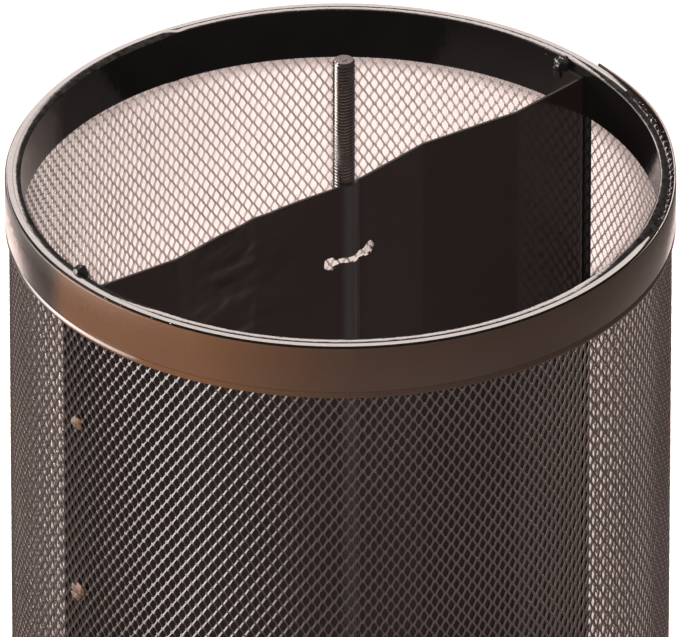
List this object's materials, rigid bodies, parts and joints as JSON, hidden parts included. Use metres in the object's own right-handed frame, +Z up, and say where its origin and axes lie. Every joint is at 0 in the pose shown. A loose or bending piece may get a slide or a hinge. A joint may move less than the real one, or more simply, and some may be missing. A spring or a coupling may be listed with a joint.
{
  "type": "ashtray bin",
  "caption": "Round open-top bin with an expanded-metal wall, banded rims, a folded full-height divider with a threaded stud, and half-round lift-out ash pans.",
  "frame": {"origin": "on the floor at the bin's axis, under the rubber feet", "axes": "+Z up along the bin's axis; X along the divider, with the outer bands' overlap at +X; the divider's swage faces -Y"},
  "size_m": [0.242, 0.24, 0.6464],
  "materials": {
    "black_paint": "gloss black enamel, chipped on the edges",
    "gloss_band": "gloss dark bronze enamel",
    "mesh_paint": "semi-gloss dark brown enamel on expanded metal",
    "sheet_paint": "gloss black enamel on thin sheet",
    "zinc_steel": "bright zinc plate",
    "weld_rust": "bare weld, lightly rusted",
    "foot_rubber": "matt moulded rubber",
    "pan_steel": "dull galvanised sheet with ash stains"
  },
  "bodies": {
    "bin": {"top_hoop": "black_paint", "top_band": "gloss_band", "mesh_wall": "mesh_paint", "bottom_hoop": "black_paint", "bottom_band": "gloss_band", "left_side_bar": "black_paint", "right_side_bar": "black_paint", "divider": "sheet_paint", "stud": "zinc_steel", "stud_welds": "black_paint", "corner_welds": "black_paint", "seam_welds": "weld_rust", "base_disc": "sheet_paint", "base_welds": "black_paint", "rubber_feet": "foot_rubber", "foot_screws": "zinc_steel", "foot_washers": "zinc_steel", "foot_nuts": "zinc_steel"},
    "front_pan": {"front_ash_pan": "pan_steel", "front_pan_handle": "zinc_steel"},
    "rear_pan": {"rear_ash_pan": "pan_steel", "rear_pan_handle": "zinc_steel"}
  },
  "joints": [
    {"name": "front_pan_lift", "type": "slide", "parent": "bin", "child": "front_pan", "axis": [0, 0, 1], "range_m": [0, 0.64]},
    {"name": "rear_pan_lift", "type": "slide", "parent": "bin", "child": "rear_pan", "axis": [0, 0, 1], "range_m": [0, 0.64]}
  ]
}
